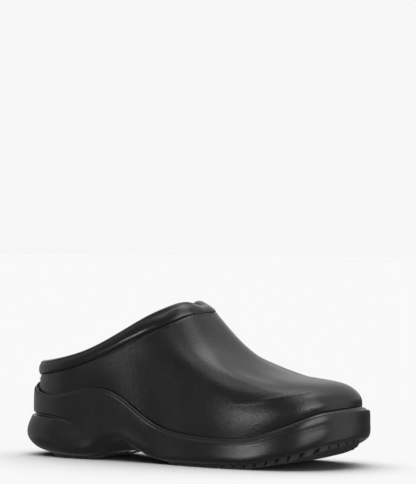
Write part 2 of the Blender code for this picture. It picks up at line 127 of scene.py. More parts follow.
SIDE = table(
    "lateral_lip medial_lip wall_out crease crease_z flare flare_z round_in round_z edge_in",
    ("toe tip", 0.454, 0.454, 0.003, 0.000, 0.598, 0.004, 0.323, 0.012, 0.091, 0.060),
    ("toe quarter", 0.474, 0.459, 0.004, 0.000, 0.620, 0.006, 0.345, 0.010, 0.113, 0.060),
    ("toe corner", 0.499, 0.484, 0.006, 0.000, 0.642, 0.009, 0.400, 0.003, 0.147, 0.055),
    ("ball front", 0.442, 0.454, 0.007, 0.000, 0.704, 0.011, 0.471, -0.001, 0.196, 0.045),
    ("ball", 0.406, 0.410, 0.007, 0.000, 0.723, 0.011, 0.489, -0.001, 0.213, 0.045),
    ("ball rear", 0.446, 0.464, 0.006, 0.000, 0.683, 0.008, 0.450, 0.001, 0.197, 0.048),
    ("waist front", 0.589, 0.639, 0.004, 0.000, 0.646, 0.003, 0.270, 0.028, 0.166, 0.080),
    ("waist", 0.896, 0.896, 0.000, 0.000, 0.630, 0.000, 0.383, 0.092, 0.269, 0.127),
    ("heel front", 1.019, 0.984, 0.003, 0.000, 0.480, 0.008, 0.290, 0.008, 0.110, 0.070),
    ("heel", 0.899, 0.909, -0.002, 0.013, 0.640, 0.022, 0.300, 0.014, 0.105, 0.090),
    ("heel corner", 0.950, 0.950, 0.003, 0.020, 0.630, 0.045, 0.300, 0.026, 0.115, 0.120),
    ("heel back", 1.045, 1.045, 0.003, 0.020, 0.580, 0.049, 0.272, 0.026, 0.110, 0.120),
)

COLLAR = table(
    "lateral_x lateral_y medial_x medial_y rise lean band",
    ("toe tip", 0.5480, 0.030, 0.5480, 0.030, 0.842, 59.0, 0.84),
    ("toe quarter", 0.5460, -0.055, 0.5350, 0.108, 0.840, 61.0, 0.94),
    ("toe corner", 0.5370, -0.139, 0.5150, 0.165, 0.830, 47.0, 0.99),
    ("ball front", 0.5160, -0.218, 0.4900, 0.226, 0.802, 37.5, 1.10),
    ("ball", 0.4780, -0.285, 0.4490, 0.298, 0.722, 26.0, 1.18),
    ("ball rear", 0.4220, -0.328, 0.3960, 0.325, 0.620, 20.0, 1.16),
    ("waist front", 0.3600, -0.346, 0.3400, 0.332, 0.498, 15.0, 1.04),
    ("waist", 0.2920, -0.350, 0.2790, 0.326, 0.366, 11.0, 0.92),
    ("heel front", 0.2190, -0.343, 0.2110, 0.318, 0.256, 8.0, 0.82),
    ("heel", 0.1360, -0.313, 0.1330, 0.300, 0.170, 6.0, 0.82),
    ("heel corner", 0.0610, -0.200, 0.0600, 0.200, 0.122, 3.0, 0.84),
    ("heel back", 0.0285, 0.000, 0.0285, 0.000, 0.108, 2.0, 0.86),
)

LAST = table(
    "wall_in wall_up shoulder_in shoulder_up deck_in deck_up vamp_in vamp_up cone_in cone_up",
    ("toe tip", 0.000, 0.098, 0.050, 0.208, 0.182, 0.286, 0.430, 0.348, 0.728, 0.562),
    ("toe quarter", -0.004, 0.096, 0.050, 0.212, 0.186, 0.292, 0.430, 0.356, 0.728, 0.567),
    ("toe corner", -0.012, 0.105, 0.055, 0.235, 0.200, 0.320, 0.440, 0.402, 0.730, 0.605),
    ("ball front", -0.020, 0.145, 0.070, 0.335, 0.250, 0.452, 0.460, 0.548, 0.740, 0.718),
    ("ball", -0.030, 0.164, 0.080, 0.377, 0.280, 0.528, 0.500, 0.660, 0.750, 0.811),
    ("ball rear", -0.020, 0.180, 0.100, 0.395, 0.300, 0.560, 0.500, 0.700, 0.745, 0.843),
    ("waist front", 0.080, 0.190, 0.230, 0.390, 0.420, 0.570, 0.600, 0.725, 0.790, 0.865),
    ("waist", 0.150, 0.180, 0.310, 0.360, 0.480, 0.530, 0.650, 0.690, 0.820, 0.845),
    ("heel front", 0.167, 0.167, 0.333, 0.333, 0.500, 0.500, 0.667, 0.667, 0.833, 0.833),
    ("heel", 0.167, 0.167, 0.333, 0.333, 0.500, 0.500, 0.667, 0.667, 0.833, 0.833),
    ("heel corner", 0.167, 0.167, 0.333, 0.333, 0.500, 0.500, 0.667, 0.667, 0.833, 0.833),
    ("heel back", 0.167, 0.167, 0.333, 0.333, 0.500, 0.500, 0.667, 0.667, 0.833, 0.833),
)

# Collar band from its lower edge over the crown to the lining, finer than the solid's
BAND = table(
    "along out",
    ("seam floor", 0.000, -0.150),
    ("lower edge", 0.030, 0.020),
    ("lower round", 0.085, 0.130),
    ("lower face", 0.200, 0.215),
    ("face", 0.370, 0.255),
    ("upper face", 0.560, 0.235),
    ("above face", 0.700, 0.165),
    ("bead groove top", 0.755, 0.118),
    ("bead groove", 0.780, 0.060),
    ("bead start", 0.806, 0.096),
    ("bead", 0.865, 0.060),
    ("bead round", 0.935, -0.060),
    ("crown outside", 0.985, -0.220),
    ("crown", 1.000, -0.390),
    ("crown inside", 0.975, -0.570),
    ("inner shoulder", 0.890, -0.730),
    ("inner face top", 0.760, -0.830),
    ("inner face", 0.600, -0.880),
    ("inner low", 0.400, -0.860),
    ("inner edge", 0.220, -0.780),
    ("inner under", 0.080, -0.620),
    ("under", -0.040, -0.420),
    ("under seam", -0.050, -0.260),
)

UNDERSIDE = table(
    "x spring arch bevel footbed tread",
    ("heel edge", 0.000, 0.000, 0.0, 1.000, 0.614, 1.00),
    ("heel bevel", 0.050, 0.000, 0.0, 0.330, 0.614, 1.00),
    ("heel strike", 0.105, 0.000, 0.0, 0.000, 0.609, 1.00),
    ("heel seat", 0.180, 0.000, 0.0, 0.000, 0.594, 1.00),
    ("seat front", 0.230, 0.000, 0.0, 0.000, 0.585, 1.00),
    ("heel breast", 0.285, 0.000, 0.35, 0.000, 0.574, 1.00),
    ("waist", 0.365, 0.000, 1.0, 0.000, 0.484, 1.00),
    ("waist front", 0.440, 0.000, 0.55, 0.000, 0.374, 1.00),
    ("ball rear", 0.520, 0.000, 0.0, 0.000, 0.264, 1.00),
    ("ball", 0.640, 0.000, 0.0, 0.000, 0.219, 1.30),
    ("ball front", 0.735, 0.000, 0.0, 0.000, 0.209, 2.30),
    ("toe break", 0.840, 0.260, 0.0, 0.000, 0.204, 2.85),
    ("toe corner", 0.900, 0.500, 0.0, 0.000, 0.204, 2.87),
    ("toe quarter", 0.950, 0.780, 0.0, 0.000, 0.204, 2.00),
    ("toe tip", 1.000, 1.000, 0.0, 0.000, 0.204, 1.20),
)

# Relief. Distances in millimetres: ridge and trough up the upper from
# the sole's edge, welt down from the collar seam; ditch is the lip's step, 0 to 1.
RELIEF = table(
    "ridge_at ridge trough_at trough welt welt_at ditch",
    ("toe tip", 20.7, 0.02, 17.3, 0.03, 0.26, 0.9, 0.40),
    ("toe quarter", 19.0, 0.06, 16.5, 0.06, 0.26, 0.9, 0.35),
    ("toe corner", 20.6, 0.36, 18.2, 0.12, 0.26, 0.9, 0.45),
    ("ball front", 24.2, 0.16, 20.8, 0.04, 0.30, 1.0, 0.80),
    ("ball", 27.4, 0.00, 24.4, 0.00, 0.50, 1.5, 1.00),
    ("ball rear", 28.0, 0.00, 23.8, 0.00, 0.64, 1.5, 1.00),
    ("waist front", 26.0, 0.00, 20.0, 0.00, 0.50, 1.4, 1.00),
    ("waist", 20.0, 0.00, 14.0, 0.00, 0.10, 1.2, 1.00),
    ("heel front", 16.0, 0.00, 11.0, 0.00, 0.00, 1.2, 1.00),
    ("heel", 14.0, 0.00, 9.0, 0.00, 0.00, 1.2, 1.00),
    ("heel corner", 14.0, 0.00, 9.0, 0.00, 0.00, 1.2, 1.00),
    ("heel back", 14.0, 0.00, 9.0, 0.00, 0.00, 1.2, 1.00),
)


# Curves

def around(lateral, medial):
    knots = np.array(list(lateral) + list(medial)[-2:0:-1], dtype=float)
    count = len(knots)
    system = 4.0 * np.eye(count) + np.roll(np.eye(count), 1, 0) + np.roll(np.eye(count), -1, 0)
    bend = np.linalg.solve(system, 6.0 * (np.roll(knots, 1) - 2.0 * knots + np.roll(knots, -1)))
    place = np.arange(STATIONS) * count / STATIONS
    here = place.astype(int)
    there = (here + 1) % count
    past = place - here
    left = 1.0 - past
    return (left * knots[here] + past * knots[there]
            + ((left ** 3 - left) * bend[here] + (past ** 3 - past) * bend[there]) / 6.0)


def both(columns, name):
    return around(columns[name], columns[name])


def sides(columns, name):
    return around(columns["lateral_" + name], columns["medial_" + name])


def along(x, column):
    knots = np.array(UNDERSIDE["x"]) * LENGTH
    values = np.array(UNDERSIDE[column])
    step = np.diff(knots)
    slope = np.diff(values) / step
    lean = np.zeros(len(knots))
    for i in range(1, len(knots) - 1):
        if slope[i - 1] * slope[i] > 0.0:
            first = 2.0 * step[i] + step[i - 1]
            second = step[i] + 2.0 * step[i - 1]
            lean[i] = (first + second) / (first / slope[i - 1] + second / slope[i])
    lean[-1] = slope[-1]
    lean[0] = slope[0]
    x = np.clip(x, knots[0], knots[-1])
    i = np.clip(np.searchsorted(knots, x) - 1, 0, len(step) - 1)
    t = (x - knots[i]) / step[i]
    return ((1 + 2 * t) * (1 - t) ** 2 * values[i] + t * (1 - t) ** 2 * step[i] * lean[i]
            + t * t * (3 - 2 * t) * values[i + 1] + t * t * (t - 1) * step[i] * lean[i + 1])


def spring(x):
    return along(x, "spring") * TOE_SPRING


def tread_line(x):
    return spring(x) + along(x, "arch") * ARCH_LIFT + along(x, "bevel") * HEEL_BEVEL


def tread_top(x):
    return tread_line(x) + along(x, "tread") * TREAD_THICKNESS


def footbed(x, across):
    return spring(x) + along(x, "footbed") * HEEL_HEIGHT + DISH * (across ** 2 - 1.0)


def outward(x, y):
    dx = np.roll(x, -1) - np.roll(x, 1)
    dy = np.roll(y, -1) - np.roll(y, 1)
    size = np.hypot(dx, dy)
    return np.stack([-dy / size, dx / size], axis=1)


def ring(plan_points, z):
    return np.column_stack([plan_points, np.broadcast_to(z, len(plan_points))])


def meridians(knots, count):
    """Rows of natural cubic splines through the knot loops, one spline for each station."""
    knots = np.array(knots)
    number = len(knots)
    gap = np.linalg.norm(np.diff(knots, axis=0), axis=2) + 1e-9
    slope = np.diff(knots, axis=0) / gap[:, :, None]
    system = np.zeros((STATIONS, number, number))
    right = np.zeros((STATIONS, number, 3))
    system[:, 0, 0] = 1.0
    system[:, -1, -1] = 1.0
    for i in range(1, number - 1):
        system[:, i, i - 1] = gap[i - 1]
        system[:, i, i] = 2.0 * (gap[i - 1] + gap[i])
        system[:, i, i + 1] = gap[i]
        right[:, i] = 6.0 * (slope[i] - slope[i - 1])
    bend = np.linalg.solve(system, right).transpose(1, 0, 2)
    mean = gap.mean(axis=1)
    stops = np.concatenate([[0.0], np.cumsum(mean)]) / mean.sum()
    rows = []
    for v in np.linspace(0.0, 1.0, count):
        i = min(int(np.searchsorted(stops, v, side="right")) - 1, number - 2)
        t = (v - stops[i]) / (stops[i + 1] - stops[i])
        left = 1.0 - t
        square = (gap[i] ** 2)[:, None] / 6.0
        rows.append(left * knots[i] + t * knots[i + 1]
                    + square * ((left ** 3 - left) * bend[i] + (t ** 3 - t) * bend[i + 1]))
    return rows


def round_off(before, corner, after, reach, steps):
    """Rows that replace a sharp corner loop by a small arc."""
    back = before - corner
    ahead = after - corner
    first = corner + back / np.linalg.norm(back, axis=1, keepdims=True) * reach
    last = corner + ahead / np.linalg.norm(ahead, axis=1, keepdims=True) * reach
    rows = []
    for k in range(steps + 1):
        t = k / steps
        rows.append((1 - t) ** 2 * first + 2 * t * (1 - t) * corner + t * t * last)
    return rows


def surface_normals(rows):
    sheet = np.array(rows)
    round_step = np.roll(sheet, -1, axis=1) - np.roll(sheet, 1, axis=1)
    up_step = np.gradient(sheet, axis=0)
    normal = np.cross(up_step, round_step)
    return normal / np.linalg.norm(normal, axis=2, keepdims=True)


def waver(seed, size, *counts):
    """A small closed waver round the loop, the same in each run."""
    turn = np.arange(STATIONS) / STATIONS * 2.0 * math.pi
    total = sum(math.cos(seed * 1.7 + n) * np.sin(n * turn + seed * 2.3 + n * n) for n in counts)
    return size * total / len(counts)


def arcs(rows):
    """The rows as one array, and the way up each meridian to each row."""
    sheet = np.array(rows)
    step = np.linalg.norm(np.diff(sheet, axis=0), axis=2)
    return sheet, np.vstack([np.zeros((1, STATIONS)), np.cumsum(step, axis=0)])


def respace(rows, stops):
    """Rows at these ways up each meridian; stops(length) gives one list for all stations."""
    sheet, rise = arcs(rows)
    wanted = stops(rise[-1])
    result = np.empty((len(wanted), STATIONS, 3))
    for i in range(STATIONS):
        for axis in range(3):
            result[:, i, axis] = np.interp(wanted[:, i], rise[:, i], sheet[:, i, axis])
    return result


def bump_at(v, centre, width):
    """1 on the centre, falling smoothly to 0 at the width."""
    return np.clip(1.0 - ((v - centre) / width) ** 2, 0.0, 1.0) ** 2


# Shared plans and heights

plan = np.column_stack([sides(OUTLINE, "x") * LENGTH, sides(OUTLINE, "y") * BALL_WIDTH])
plan_out = outward(plan[:, 0], plan[:, 1])
toe_spring = spring(plan[:, 0])
lip_height = sides(SIDE, "lip") * HEEL_HEIGHT
lip = toe_spring + lip_height
ledge = HEEL_LEDGE + (TOE_LEDGE - HEEL_LEDGE) * np.clip(plan[:, 0] / LENGTH, 0.0, 1.0)
foot_plan = plan - plan_out * ledge[:, None]
foot_z = lip - 0.5 * GROOVE_DEPTH
floor_z = footbed(foot_plan[:, 0], 1.0)


# Meshes

class Skin:
    """Quads collected loop by loop, then welded into one mesh."""

    def __init__(self):
        self.points = []
        self.faces = []
        self.slots = []
        self.count = 0

    def add(self, sheet, closed_round, closed_up=False, slot=0):
        """A sheet of rows; closed_round joins each row's end to its start."""
        sheet = np.array(sheet)
        rows, cols = sheet.shape[:2]
        start = self.count
        self.points.append(sheet.reshape(-1, 3))
        self.count += rows * cols
        grid = start + np.arange(rows * cols).reshape(rows, cols)
        if closed_round:
            grid = np.hstack([grid, grid[:, :1]])
        if closed_up:
            grid = np.vstack([grid, grid[:1]])
        quads = np.stack([grid[:-1, :-1], grid[:-1, 1:], grid[1:, 1:], grid[1:, :-1]], axis=-1)
        self.faces.append(quads.reshape(-1, 4))
        self.slots.append(np.full(len(self.faces[-1]), slot))

    def finish(self, name, materials, crease=None):
        points = np.vstack(self.points) - CENTRE
        data = bpy.data.meshes.new(name)
        faces = np.vstack(self.faces)
        data.from_pydata(points.tolist(), [], faces.tolist())
        for material in materials:
            data.materials.append(material)
        data.polygons.foreach_set("material_index", np.concatenate(self.slots).astype(np.int32))
        mesh = bmesh.new()
        mesh.from_mesh(data)
        bmesh.ops.remove_doubles(mesh, verts=mesh.verts[:], dist=1e-6)
        bmesh.ops.dissolve_degenerate(mesh, edges=mesh.edges[:], dist=1e-7)
        loose = [v for v in mesh.verts if not v.link_faces]
        bmesh.ops.delete(mesh, geom=loose, context="VERTS")
        bmesh.ops.recalc_face_normals(mesh, faces=mesh.faces[:])
        if mesh.calc_volume(signed=True) < 0.0:
            bmesh.ops.reverse_faces(mesh, faces=mesh.faces[:])
        mesh.to_mesh(data)
        mesh.free()
        data.shade_smooth()
        if crease:
            data.set_sharp_from_angle(angle=math.radians(crease))
        piece = bpy.data.objects.new(name, data)
        bpy.context.scene.collection.objects.link(piece)
        return piece


def crossing(loop, height, steps):
    """Rungs from each lateral station to its medial partner."""
    first = loop[:RUNGS + 1]
    second = loop[(STATIONS - np.arange(RUNGS + 1)) % STATIONS]
    rungs = []
    for k in range(steps + 1):
        share = k / steps
        line = first + (second - first) * share
        if 0 < k < steps:
            line = line.copy()
            line[:, 2] = height(line[:, 0], 2.0 * share - 1.0)
        rungs.append(line)
    return np.array(rungs).transpose(1, 0, 2)


# Materials

class Nodes:
    """A short hand for a material's node tree."""

    def __init__(self, name, colour, roughness):
        self.material = bpy.data.materials.new(name)
        self.material.use_nodes = True
        self.tree = self.material.node_tree
        self.shader = self.tree.nodes["Principled BSDF"]
        self.shader.inputs["Base Color"].default_value = (*colour, 1.0)
        self.shader.inputs["Roughness"].default_value = roughness
        self.place = self.add("ShaderNodeTexCoord").outputs["Object"]

    def add(self, kind, **values):
        node = self.tree.nodes.new(kind)
        for key, value in values.items():
            setattr(node, key, value)
        return node

    def join(self, source, target):
        self.tree.links.new(source, target)

    def noise(self, scale, detail=3.0):
        node = self.add("ShaderNodeTexNoise")
        node.inputs["Scale"].default_value = scale
        node.inputs["Detail"].default_value = detail
        node.inputs["Roughness"].default_value = 0.55
        self.join(self.place, node.inputs["Vector"])
        return node.outputs["Fac"]

    def cells(self, scale):
        node = self.add("ShaderNodeTexVoronoi", feature="F1")
        node.inputs["Scale"].default_value = scale
        self.join(self.place, node.inputs["Vector"])
        return node.outputs["Distance"]

    def spread(self, source, low, high):
        """A noise's usual range, 0.3 to 0.7, taken to low and high."""
        node = self.add("ShaderNodeMapRange")
        node.inputs["From Min"].default_value = 0.3
        node.inputs["From Max"].default_value = 0.7
        node.inputs["To Min"].default_value = low
        node.inputs["To Max"].default_value = high
        self.join(source, node.inputs["Value"])
        return node.outputs["Result"]

    def math(self, operation, first, second):
        node = self.add("ShaderNodeMath", operation=operation)
        for socket, value in zip(node.inputs, (first, second)):
            if isinstance(value, (int, float)):
                socket.default_value = value
            else:
                self.join(value, socket)
        return node.outputs["Value"]

    def tint(self, source, dark, light):
        node = self.add("ShaderNodeMix", data_type="RGBA")
        node.inputs["A"].default_value = (*dark, 1.0)
        node.inputs["B"].default_value = (*light, 1.0)
        self.join(source, node.inputs["Factor"])
        self.join(node.outputs["Result"], self.shader.inputs["Base Color"])

    def bump(self, source, distance):
        node = self.add("ShaderNodeBump")
        node.inputs["Strength"].default_value = 1.0
        node.inputs["Distance"].default_value = distance
        self.join(source, node.inputs["Height"])
        self.join(node.outputs["Normal"], self.shader.inputs["Normal"])


def moulded(name, dark, light, gloss, grain, grain_height):
    """Satin moulded foam: fine pebble grain, faint cloudiness in colour and gloss."""
    nodes = Nodes(name, dark, gloss)
    cloud = nodes.noise(38.0, 4.0)
    nodes.tint(nodes.spread(cloud, 0.0, 1.0), dark, light)
    nodes.join(nodes.spread(nodes.noise(70.0, 3.0), gloss - 0.03, gloss + 0.04),
               nodes.shader.inputs["Roughness"])
    pebble = nodes.math("ADD", nodes.cells(grain), nodes.noise(grain * 0.6, 2.0))
    nodes.bump(pebble, grain_height)
    return nodes.material


def rubber(name, dark, light):
    nodes = Nodes(name, dark, 0.6)
    nodes.tint(nodes.spread(nodes.noise(60.0, 5.0), 0.0, 1.0), dark, light)
    nodes.join(nodes.spread(nodes.noise(140.0), 0.52, 0.68), nodes.shader.inputs["Roughness"])
    nodes.bump(nodes.noise(900.0, 4.0), 0.00008)
    return nodes.material


def cloth(name, dark, light):
    """Fine plain weave over foam, in plan."""
    nodes = Nodes(name, dark, 0.85)
    parts = nodes.add("ShaderNodeSeparateXYZ")
    nodes.join(nodes.place, parts.inputs["Vector"])
    warp = nodes.math("SINE", nodes.math("MULTIPLY", parts.outputs["X"], 9000.0), 0.0)
    weft = nodes.math("SINE", nodes.math("MULTIPLY", parts.outputs["Y"], 9000.0), 0.0)
    weave = nodes.math("MULTIPLY", warp, weft)
    nodes.tint(nodes.spread(nodes.noise(220.0, 5.0), 0.0, 1.0), dark, light)
    nodes.shader.inputs["Sheen Weight"].default_value = 0.15
    nodes.shader.inputs["Sheen Roughness"].default_value = 0.5
    nodes.bump(weave, 0.00006)
    return nodes.material


BLACK = (0.0070, 0.0070, 0.0074)
SOFT_BLACK = (0.0085, 0.0085, 0.0090)
upper_foam = moulded("satin moulded upper", BLACK, SOFT_BLACK, 0.26, 800.0, 0.00007)
band_foam = moulded("satin collar band", BLACK, SOFT_BLACK, 0.19, 1000.0, 0.00003)
sole_foam = moulded("satin moulded sole", BLACK, SOFT_BLACK, 0.26, 1200.0, 0.00002)
inside_foam = moulded("matt moulded inside", BLACK, SOFT_BLACK, 0.60, 900.0, 0.00004)
tread_black = rubber("matt tread rubber", (0.0105, 0.0105, 0.0110), (0.0150, 0.0150, 0.0155))
insole_cloth = cloth("insole cloth", (0.018, 0.018, 0.0195), (0.026, 0.026, 0.028))


# Upper

def upper_rows():
    seam = np.column_stack([
        sides(COLLAR, "x") * LENGTH,
        sides(COLLAR, "y") * BALL_WIDTH,
        HEEL_HEIGHT + both(COLLAR, "rise") * (INSTEP_HEIGHT - HEEL_HEIGHT),
    ])
    foot = ring(foot_plan, foot_z)
    knots = [foot]
    for name in ("wall", "shoulder", "deck", "vamp", "cone"):
        share_in = both(LAST, name + "_in")[:, None]
        share_up = both(LAST, name + "_up")[:, None]
        knots.append(foot + np.hstack([share_in, share_in, share_up]) * (seam - foot))
    knots.append(seam)
    return meridians(knots, 401), seam


def upper_stops(length):
    """Close rows at the foot, at the toe's relief and under the seam."""
    low = np.minimum(RELIEF_REACH, 0.45 * length)
    high = length - SEAM_STRIP
    return np.vstack([
        np.outer(np.linspace(0.0, 1.0, 7)[:-1], np.full(STATIONS, FOOT_STRIP)),
        FOOT_STRIP + np.outer(np.linspace(0.0, 1.0, 41)[:-1], low - FOOT_STRIP),
        low + np.outer(np.linspace(0.0, 1.0, 61)[:-1], high - low),
        high + np.outer(np.linspace(0.0, 1.0, 17), length - high),
    ])


dense, seam = upper_rows()
outside = respace(dense, upper_stops)
normal = surface_normals(outside)
inside = list(outside - WALL * normal)


def upper_relief():
    """Height of the creases over the smooth upper, in metres."""
    rise = arcs(outside)[1] * 1000.0
    down = rise[-1] - rise
    ridge = both(RELIEF, "ridge") * np.exp(-((rise - both(RELIEF, "ridge_at")) / RIDGE_WIDTH) ** 2)
    past = rise - both(RELIEF, "trough_at")
    width = np.where(past < 0.0, TROUGH_BELOW, TROUGH_ABOVE)
    trough = np.maximum(both(RELIEF, "trough"), 0.0) * np.exp(-(past / width) ** 2)
    rough = 0.85 + waver(1.0, 0.5, 31, 47, 66, 83) + waver(2.0, 0.3, 19, 23)
    welt = (np.maximum(both(RELIEF, "welt"), 0.0) * np.clip(rough, 0.15, 1.2)
            * bump_at(down, both(RELIEF, "welt_at"), WELT_WIDTH))
    slack = waver(4.0, 0.03, 3, 5) * bump_at(down, SLACK_DOWN, SLACK_DOWN)
    return (ridge - trough + welt + slack) * 0.001


outside = list(outside + normal * upper_relief()[:, :, None])
buried = ring(foot_plan, floor_z + CLEARANCE)
inside_buried = inside[0].copy()
inside_buried[:, 2] = floor_z + CLEARANCE

shell = Skin()
edge = round_off(outside[-2], outside[-1], inside[-1], 0.0005, 3)
skin_rows = [buried] + outside[:-1] + edge
shell.add(skin_rows + [inside[-1]], True)
lining = [inside[k] for k in range(len(inside) - 1, -1, -3)] + [inside[0], inside_buried, buried]
shell.add(lining, True, slot=1)
upper_body = shell.finish("upper_body", [upper_foam, inside_foam], crease=50.0)


# Collar band

def band_rows():
    out = outward(seam[:, 0], seam[:, 1])
    lean = np.radians(both(COLLAR, "lean"))[:, None]
    up = np.hstack([-out * np.sin(lean), np.cos(lean)])
    face = np.hstack([out * np.cos(lean), np.sin(lean)])
    depth = both(COLLAR, "band")[:, None] * BAND_DEPTH
    swell = 1.0 + waver(3.0, 0.05, 9, 14, 23)[:, None]
    rows = []
    for share_up, share_out in zip(BAND["along"], BAND["out"]):
        if share_out > 0.05:
            share_out = share_out * swell
        rows.append(seam + up * share_up * depth + face * share_out * BAND_THICKNESS)
    return rows


def refine(rows, steps):
    """Catmull-Rom rows through closed profile rows."""
    rows = np.array(rows)
    before, after, later = np.roll(rows, 1, 0), np.roll(rows, -1, 0), np.roll(rows, -2, 0)
    result = []
    for i in range(len(rows)):
        for k in range(steps):
            t = k / steps
            result.append(0.5 * (2 * rows[i] + (after[i] - before[i]) * t
                                 + (2 * before[i] - 5 * rows[i] + 4 * after[i] - later[i]) * t * t
                                 + (3 * rows[i] - before[i] - 3 * after[i] + later[i]) * t ** 3))
    return result


collar = Skin()
collar.add(refine(band_rows(), 3), True, closed_up=True)
collar_band = collar.finish("collar_band", [band_foam])


# Sole

def sole_rows():
    def at(out, share):
        return ring(plan + plan_out * (out * BALL_WIDTH)[:, None], toe_spring + lip_height * share)

    top = ring(plan, lip - LIP_BEVEL)
    wall_out = both(SIDE, "wall_out")
    flare = both(SIDE, "flare")
    flare_z = both(SIDE, "flare_z")
    crease_z = both(SIDE, "crease_z")
    crease = both(SIDE, "crease")
    half = 0.5 * CREASE_WIDTH / lip_height
    wall_z = 0.5 * (1.0 - LIP_BEVEL / lip_height + crease_z + half)
    rest = wall_out + (flare - wall_out) * 0.25
    edge_plan = plan - plan_out * (both(SIDE, "edge_in") * BALL_WIDTH)[:, None]
    bottom = ring(edge_plan, tread_top(edge_plan[:, 0]) + CLEARANCE)
    lower = meridians([bottom, at(-both(SIDE, "round_in"), both(SIDE, "round_z")),
                       at(flare, flare_z), at(rest, crease_z - half)], 201)
    lower = respace(lower, lambda length: np.vstack([
        np.outer(np.linspace(0.0, 1.0, 13)[:-1], np.full(STATIONS, EDGE_BEAD)),
        EDGE_BEAD + np.outer(np.linspace(0.0, 1.0, 41), length - EDGE_BEAD)]))
    bead = bump_at(arcs(lower)[1], 0.45 * EDGE_BEAD, 0.38 * EDGE_BEAD)
    lower = list(lower + surface_normals(lower) * (bead * EDGE_RISE)[:, :, None])
    notch = []
    for t in np.linspace(-1.0, 1.0, 13)[1:-1]:
        mix = 0.5 * (1.0 + t)
        out = rest + (wall_out - rest) * mix - crease * (1.0 - t * t) ** 1.5
        notch.append(at(out, crease_z + half * t))
    upper = meridians([at(wall_out, crease_z + half), at(wall_out, wall_z), top], 16)
    return lower + notch + upper, bottom


side_rows, bottom_edge = sole_rows()
inner_plan = foot_plan + plan_out * CLEARANCE
lip_plan = foot_plan + plan_out * (CLEARANCE + LIP_GROOVE)
groove_floor = ring(lip_plan, lip - GROOVE_DEPTH)


def lip_rows():
    """The top edge from its outer line to the groove: a bead, a ditch and a second bead."""
    ditch = np.clip(both(RELIEF, "ditch"), 0.0, 1.0)
    rows = []
    for t in np.linspace(0.10, 1.0, 22):
        drop = LIP_BEVEL * (1.0 - t)
        sink = DITCH * bump_at(t, 0.40, 0.30)
        swell = LIP_SWELL * bump_at(t, 0.80, 0.30)
        rows.append(ring(plan + (lip_plan - plan) * t, lip - drop - (sink - swell) * ditch))
    return rows


top_rows = lip_rows()
sole = Skin()
sole.add(side_rows[:-1]
         + round_off(side_rows[-2], side_rows[-1], top_rows[0], 0.00045, 5)
         + top_rows[:-1]
         + round_off(top_rows[-2], top_rows[-1], groove_floor, 0.0002, 3)
         + [groove_floor, ring(inner_plan, lip - GROOVE_DEPTH),
            ring(inner_plan, footbed(inner_plan[:, 0], 1.0))], True)
sole.add(crossing(ring(inner_plan, footbed(inner_plan[:, 0], 1.0)), footbed, 12), False)
sole.add(crossing(bottom_edge, lambda x, across: tread_top(x) + CLEARANCE, 12), False)
sole_body = sole.finish("sole_body", [sole_foam], crease=60.0)


# Insole

def make_insole():
    bottom_plan = inside_buried[:, :2] - plan_out * CLEARANCE
    back = np.clip(1.0 - bottom_plan[:, 0] / (0.5 * LENGTH), 0.0, 1.0)
    base = footbed(bottom_plan[:, 0], 1.0) + CLEARANCE
    thick = INSOLE_THICKNESS + INSOLE_RIM * back
    low_ring = ring(bottom_plan, base)
    corner = ring(bottom_plan - plan_out * 0.0002, base + thick)
    rim = ring(bottom_plan - plan_out * 0.0016, base + thick)
    arc = round_off(low_ring, corner, rim, 0.0010, 5)

    def top(x, across):
        rise = INSOLE_RIM * np.maximum(0.0, 1.0 - x / (0.5 * LENGTH)) * across ** 4
        return footbed(x, across) + CLEARANCE + INSOLE_THICKNESS + rise

    pad = Skin()
    pad.add([low_ring] + arc + [rim], True)
    pad.add(crossing(rim, top, 24), False)
    pad.add(crossing(low_ring, lambda x, across: footbed(x, across) + CLEARANCE, 8), False)
    return pad.finish("insole_sock", [insole_cloth], crease=50.0)


insole_sock = make_insole()


# Tread

def edge_at(loop, x, side):
    half = loop[:RUNGS + 1] if side == 0 else np.vstack([loop[RUNGS:], loop[:1]])
    order = np.argsort(half[:, 0])
    return np.interp(x, half[order, 0], half[order, 1])


def tread_rungs(edge_loop, cut, toward_toe, steps):
    loop = edge_loop[:, :2] - plan_out * TREAD_MARGIN
    sign = 1.0 if toward_toe else -1.0
    order = range(0, RUNGS + 1, 2) if toward_toe else range(RUNGS, -1, -2)
    ends = []
    for i in order:
        lateral = loop[i]
        medial = loop[(STATIONS - i) % STATIONS]
        if min(sign * (lateral[0] - cut), sign * (medial[0] - cut)) < 0.003:
            break
        ends.append((lateral, medial))
    ends.append((np.array([cut, edge_at(loop, cut, 0)]), np.array([cut, edge_at(loop, cut, 1)])))
    rungs = []
    for lateral, medial in ends:
        near_cut = max(0.0, 1.0 - abs(0.5 * (lateral[0] + medial[0]) - cut) / 0.03)
        line = []
        for k in range(steps + 1):
            across = k / steps
            point = lateral + (medial - lateral) * across
            bow = sign * TREAD_CURVE * (1.0 - (2.0 * across - 1.0) ** 2) * near_cut
            line.append((point[0] + bow, point[1]))
        rungs.append(line)
    return np.array(rungs)


def lug_depth(x):
    """Grooves run deeper where the tread is thicker, under the toe."""
    return LUG_DEPTH + LUG_DEEPER * np.maximum(0.0, along(x, "tread") - 1.0) * TREAD_THICKNESS


def slab(rungs, top_z, base_z):
    """A closed plate between two heights over a sheet of plan points."""
    body = Skin()
    top = np.dstack([rungs, top_z(rungs[:, :, 0])])
    base = np.dstack([rungs, base_z(rungs[:, :, 0])])
    body.add(top, False)
    body.add(base, False)
    for line in ((top[-1], base[-1]), (top[0], base[0]),
                 (top[:, 0], base[:, 0]), (top[:, -1], base[:, -1])):
        body.add(np.array(line), False)
    return body


